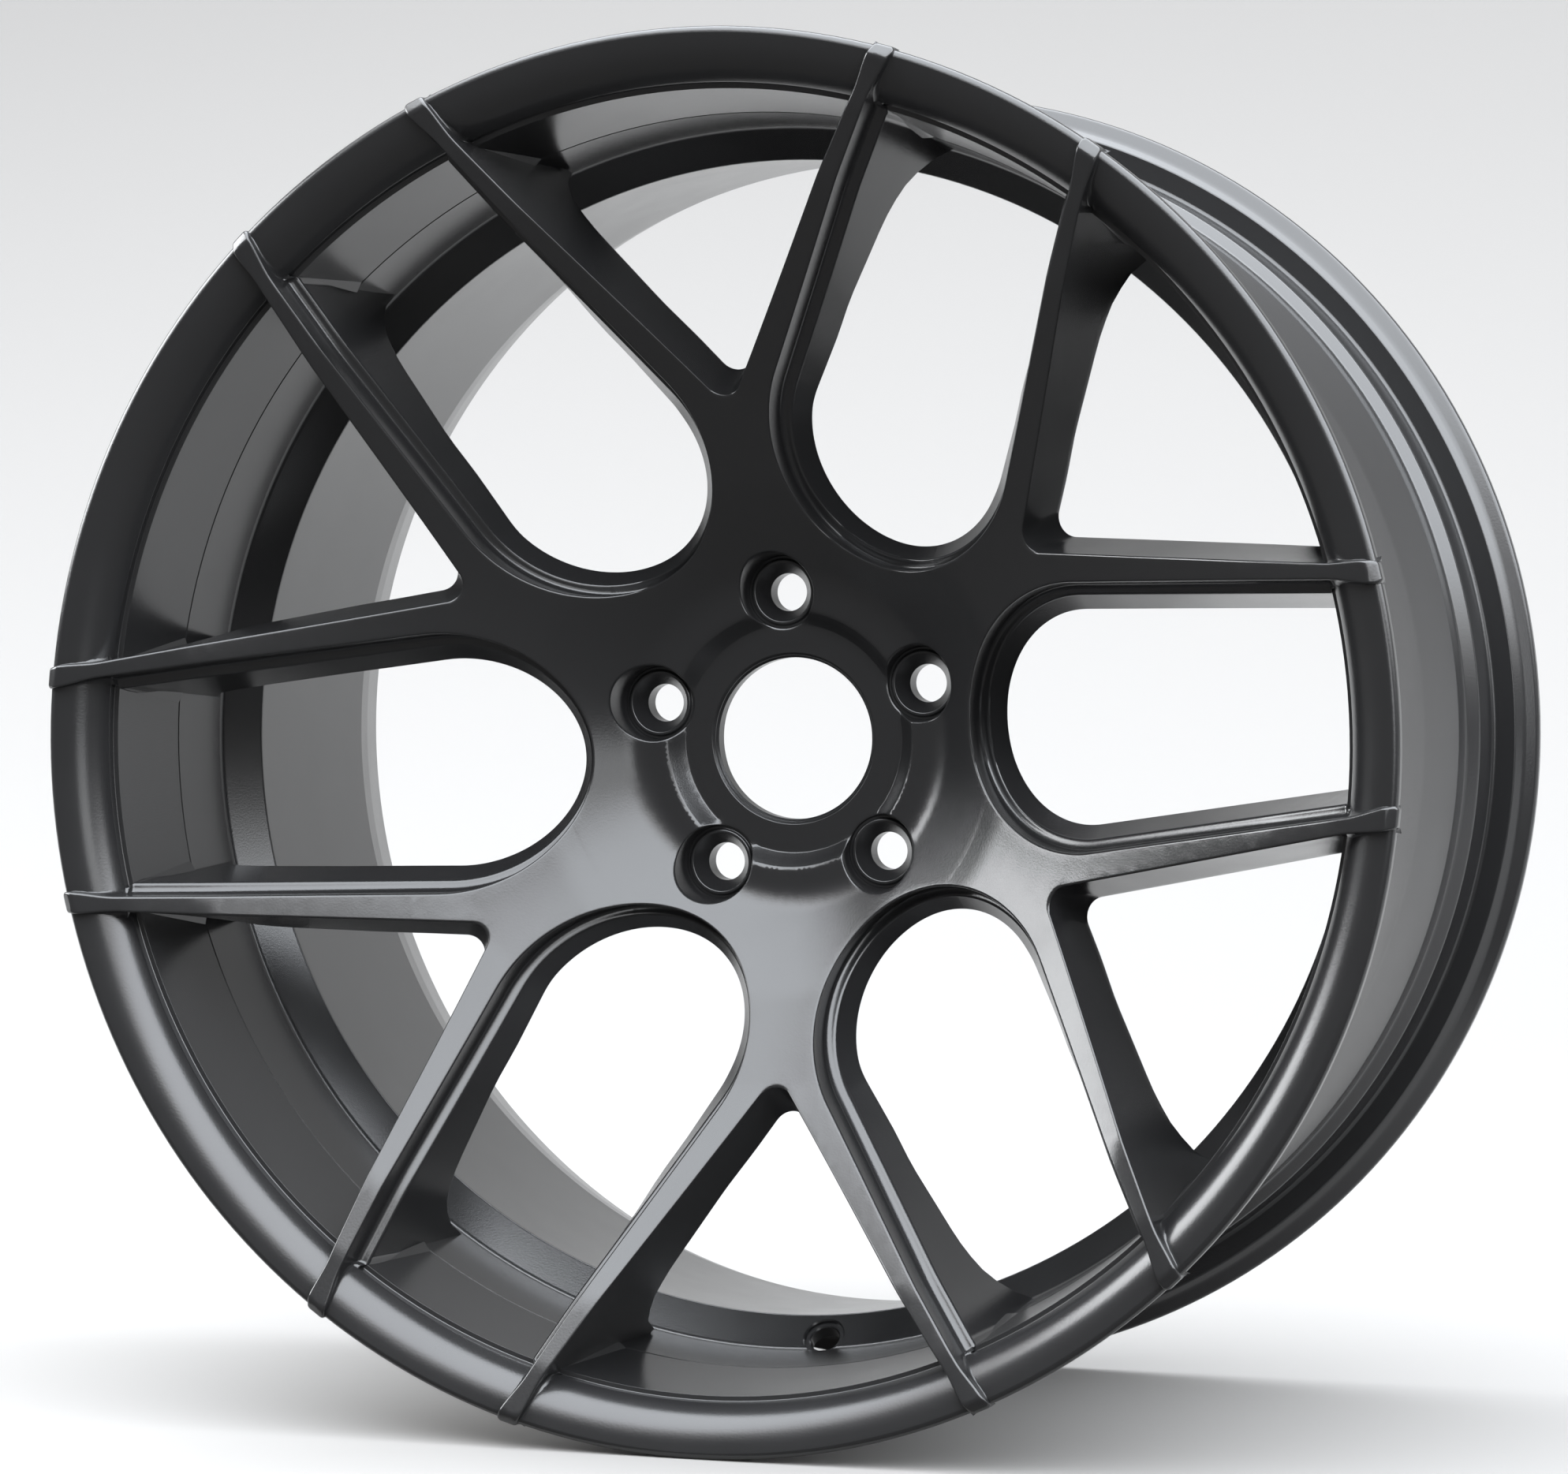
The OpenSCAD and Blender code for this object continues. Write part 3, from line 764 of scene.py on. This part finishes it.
# ---- seats, pad and cap ring ----
SEAT_RIM_R = 11.3                 # wide end of the cone
SEAT_CONE = math.tan(math.radians(30))
PAD_CHAMFER = 0.6
PAD_SPACING = 6                   # between the rows of points on the pad's flat faces
seat_outline = rounded([
    (LUG_HOLE_R, SEAT_Z / 2, 0), (LUG_HOLE_R, 0, 0.4), (POCKET_R, 0, 0.4), (POCKET_R, SEAT_Z - 1.1, 0.3),
    (SEAT_RIM_R + 1.6, SEAT_Z - 1.1, 0.5), (SEAT_RIM_R + 1.0, SEAT_Z, 0.6), (SEAT_RIM_R, SEAT_Z, 0.6),
    (LUG_HOLE_R, SEAT_Z - (SEAT_RIM_R - LUG_HOLE_R) / SEAT_CONE, 0.5), (LUG_HOLE_R, SEAT_Z / 2, 0)], 4)[:-1]
for number, angle in enumerate(lug_angles, 1):
    finish_piece(f"lug_seat_{number}", *revolve(seat_outline, HOLE_STEPS, LUG_CIRCLE_R * unit(angle)))

cap_outline = rounded([
    (CAP_R, HUB_Z - 5, 0), (CAP_R, HUB_Z - 2.4, 0.2), (CAP_R + 0.9, HUB_Z - 1.5, 0.3),
    (CAP_R + 1.0, HUB_Z - 1.0, 0.3), (CAP_R + 2, HUB_Z, 0.5), (CAP_RING_R, HUB_Z, 0),
    (CAP_RING_R, STEP_Z, 0), (CAP_R + 1, STEP_Z, 0.3), (CAP_R, STEP_Z + 1, 0.3),
    (CAP_R, HUB_Z - 5, 0)], 4)[:-1]
finish_piece("cap_seat_ring", *revolve(cap_outline, PAD_STEPS))


def mounting_pad():
    pad = Shell()
    outer_outline = [(PAD_R, PAD_Z), (PAD_R, PAD_CHAMFER), (PAD_R - PAD_CHAMFER, 0)]
    inner_outline = [(BORE_R, PAD_Z), (BORE_R, PAD_CHAMFER), (BORE_R + PAD_CHAMFER, 0)]
    outer_numbers = pad.strip(turned_sections(outer_outline, PAD_STEPS))
    inner_numbers = pad.strip(turned_sections(inner_outline, BORE_STEPS))
    borders = [outer_numbers, inner_numbers]
    for angle in lug_angles:
        edge = LUG_CIRCLE_R * unit(angle) + circle(HOLE_STEPS) * POCKET_R
        places = [np.column_stack((edge, np.full(HOLE_STEPS, z))) for z in (PAD_Z, 0)]
        borders.append(pad.strip(np.stack(places, 1)))
    rows = np.arange(BORE_R + 5, PAD_R, PAD_SPACING)
    for station, z in ((0, PAD_Z), (-1, 0.0)):
        edges = [border[:, station] for border in borders]
        pad.cap(edges, lambda r, level=z: np.full(len(r), level), rows, PAD_SPACING)
    pad.piece("mounting_pad", bare, "machined_black")


mounting_pad()

# ---- valve hole ----
VALVE_SPOT_R = 7.75               # round spot face that the valve's seal sits on
VALVE_SPOT_DEPTH = 1.4
VALVE_EDGE = 0.5
VALVE_REACH = 14.0                # the drill goes this far each way
VALVE_MOUTH = 3.7                 # from the middle of the hole to the wall it starts from


def drill_valve_hole(piece):
    """Cuts the valve hole, its chamfer and its round spot face out of a finished ring."""
    mount = mounts["valve_hole"]
    axis = Vector(mount["axis"])
    wall = Vector(mount["pos_m"]) + axis * VALVE_MOUTH * MM
    floor = -VALVE_SPOT_DEPTH
    outline = [
        (VALVE_HOLE_R, -VALVE_REACH), (VALVE_HOLE_R, floor - VALVE_EDGE),
        (VALVE_HOLE_R + VALVE_EDGE, floor), (VALVE_SPOT_R, floor), (VALVE_SPOT_R, -VALVE_EDGE),
        (VALVE_SPOT_R + VALVE_EDGE, 0), (VALVE_SPOT_R + VALVE_EDGE, VALVE_REACH)]
    drill = Shell()
    numbers = drill.strip(turned_sections(outline, HOLE_STEPS))
    drill.faces += [tuple(numbers[:, 0]), tuple(numbers[:, -1])]
    mesh = bpy.data.meshes.new("valve_drill")
    mesh.from_pydata((np.array(drill.vertices) * MM).tolist(), [], drill.plain_faces())
    tidy_normals(mesh)
    tool = bpy.data.objects.new("valve_drill", mesh)
    tool.matrix_world = Matrix.Translation(wall) @ axis.to_track_quat("Z", "Y").to_matrix().to_4x4()
    bpy.context.scene.collection.objects.link(tool)
    weighted = piece.modifiers["weighted_normals"]
    weighted.show_viewport = False
    cut = piece.modifiers.new("valve_hole", "BOOLEAN")
    cut.operation = "DIFFERENCE"
    cut.solver = "EXACT"
    cut.object = tool
    bpy.context.view_layer.update()
    evaluated = piece.evaluated_get(bpy.context.evaluated_depsgraph_get())
    drilled = bpy.data.meshes.new_from_object(evaluated)
    piece.modifiers.remove(cut)
    weighted.show_viewport = True
    piece.data = drilled
    drilled.set_sharp_from_angle(angle=SHARP_ANGLE)
    bpy.data.objects.remove(tool)


drill_valve_hole(rings["drop_centre"])

# ---- camera, stage and light, in metres ----
AZIMUTH = math.radians(19.045)
ELEVATION = math.radians(1.261)
CAMERA_PLACE = (0.62563, -1.83833, 0.04295)
FOCAL_LENGTH = 115.98             # in mm, as is the sensor
camera_data = bpy.data.cameras.new("camera")
camera_data.sensor_width = 36
camera_data.sensor_fit = "HORIZONTAL"
camera_data.lens = FOCAL_LENGTH
camera = bpy.data.objects.new("camera", camera_data)
camera.location = CAMERA_PLACE
camera.rotation_euler = (math.pi / 2 - ELEVATION, 0, AZIMUTH)
bpy.context.scene.collection.objects.link(camera)
bpy.context.scene.camera = camera

STAGE_HALF = 6.0                  # half width of the floor
WALL_Y = 3.2                      # the floor curves up into a wall here
WALL_TOP = 5.0
CURVE_R = 1.5
MIRRORED_FROM = -0.13             # the floor in front of this isn't mirrored in the satin coat
PAPER = (0.175, 0.17, 0.164)
WARM_GLOW = (1.0, 0.985, 0.97, 1)
COOL_GLOW = (0.91, 0.95, 1.0, 1)
SEEN_SKY = (0.8, 0.8, 0.81, 1)
PANEL_GLOW = (0.96, 0.98, 1.0)
ROOM_STRENGTH = 0.2               # the studio's dim walls
CEILING_STRENGTH = 10             # its bright ceiling
CEILING_UP = (0.3, 0, 1)          # the ceiling comes in where the sky turns this way
CEILING_RISE = (0.36, 0.66)
CEILING_BACK = (0, 1, -0.6)       # and fades out where it turns this way
CEILING_FADE = (0.4, 0.05)


def pale(name, colour, roughness):
    """Plain paper for the stage."""
    material = bpy.data.materials.new(name)
    material.use_nodes = True
    shader = material.node_tree.nodes["Principled BSDF"]
    shader.inputs["Base Color"].default_value = (*colour, 1)
    shader.inputs["Roughness"].default_value = roughness
    return material


def stage_sheet(name, profile, material):
    """A wide sheet of paper that follows a (y, z) profile."""
    vertices = [(x, y, z) for x in (-STAGE_HALF, STAGE_HALF) for y, z in profile]
    count = len(profile)
    faces = [(i, i + 1, count + i + 1, count + i) for i in range(count - 1)]
    mesh = bpy.data.meshes.new(name)
    mesh.from_pydata(vertices, [], faces)
    mesh.shade_smooth()
    mesh.materials.append(material)
    sheet = bpy.data.objects.new(name, mesh)
    bpy.context.scene.collection.objects.link(sheet)
    return sheet


def panel(name, place, target, size, radiance):
    """A soft box that the camera doesn't see."""
    data = bpy.data.lights.new(name, "AREA")
    data.shape = "RECTANGLE"
    data.size, data.size_y = size
    data.energy = radiance * math.pi * size[0] * size[1]
    data.color = PANEL_GLOW
    light = bpy.data.objects.new(name, data)
    light.location = place
    light.rotation_euler = (Vector(target) - Vector(place)).to_track_quat("-Z", "Y").to_euler()
    light.visible_camera = False
    bpy.context.scene.collection.objects.link(light)


def ramp(tree, value, low, high, interpolation="SMOOTHSTEP", to_low=0.0, to_high=1.0):
    """Adds a node that maps value from low..high to to_low..to_high."""
    node = tree.nodes.new("ShaderNodeMapRange")
    node.interpolation_type = interpolation
    node.inputs["From Min"].default_value = low
    node.inputs["From Max"].default_value = high
    node.inputs["To Min"].default_value = to_low
    node.inputs["To Max"].default_value = to_high
    tree.links.new(value, node.inputs["Value"])
    return node.outputs["Result"]


def facing(tree, direction):
    """Adds a node that tells how far the sky's direction points along the given one."""
    place = tree.nodes.new("ShaderNodeTexCoord")
    product = tree.nodes.new("ShaderNodeVectorMath")
    product.operation = "DOT_PRODUCT"
    tree.links.new(place.outputs["Generated"], product.inputs[0])
    product.inputs[1].default_value = direction
    return product.outputs["Value"]


def studio_dome():
    """A dim room whose bright ceiling lies overhead and in front, with soft borders."""
    world = bpy.data.worlds.new("studio")
    world.use_nodes = True
    tree = world.node_tree
    high_up = ramp(tree, facing(tree, CEILING_UP), *CEILING_RISE)
    in_front = ramp(tree, facing(tree, CEILING_BACK), *CEILING_FADE)
    ceiling = tree.nodes.new("ShaderNodeMath")
    ceiling.operation = "MULTIPLY"
    tree.links.new(high_up, ceiling.inputs[0])
    tree.links.new(in_front, ceiling.inputs[1])
    share = ceiling.outputs["Value"]
    tint = tree.nodes.new("ShaderNodeMix")
    tint.data_type = "RGBA"
    tint.inputs["A"].default_value = WARM_GLOW
    tint.inputs["B"].default_value = COOL_GLOW
    tree.links.new(share, tint.inputs["Factor"])
    glow = tree.nodes["Background"]
    tree.links.new(tint.outputs["Result"], glow.inputs["Color"])
    strength = ramp(tree, share, 0, 1, "LINEAR", ROOM_STRENGTH, CEILING_STRENGTH)
    tree.links.new(strength, glow.inputs["Strength"])
    seen = tree.nodes.new("ShaderNodeBackground")
    seen.inputs["Color"].default_value = SEEN_SKY
    path = tree.nodes.new("ShaderNodeLightPath")
    chosen = tree.nodes.new("ShaderNodeMixShader")
    tree.links.new(path.outputs["Is Camera Ray"], chosen.inputs["Fac"])
    tree.links.new(glow.outputs["Background"], chosen.inputs[1])
    tree.links.new(seen.outputs["Background"], chosen.inputs[2])
    tree.links.new(chosen.outputs["Shader"], tree.nodes["World Output"].inputs["Surface"])
    bpy.context.scene.world = world


floor_z = -FLANGE_R * MM
paper = pale("pale_paper", PAPER, 0.9)
backdrop = rounded([(MIRRORED_FROM, floor_z, 0), (WALL_Y, floor_z, CURVE_R), (WALL_Y, WALL_TOP, 0)], 16)
stage_sheet("backdrop", backdrop, paper)
front_floor = stage_sheet("front_floor", [(-STAGE_HALF, floor_z), (MIRRORED_FROM, floor_z)], paper)
front_floor.visible_glossy = False
panel("left_panel", (-2.2, -0.35, 0.95), (0, 0, 0), (1.9, 1.1), 15)
panel("front_right_panel", (1.6, -2.1, 0.25), (0, 0, 0), (1.0, 0.6), 4.5)
studio_dome()
bpy.context.scene.view_settings.view_transform = "Standard"
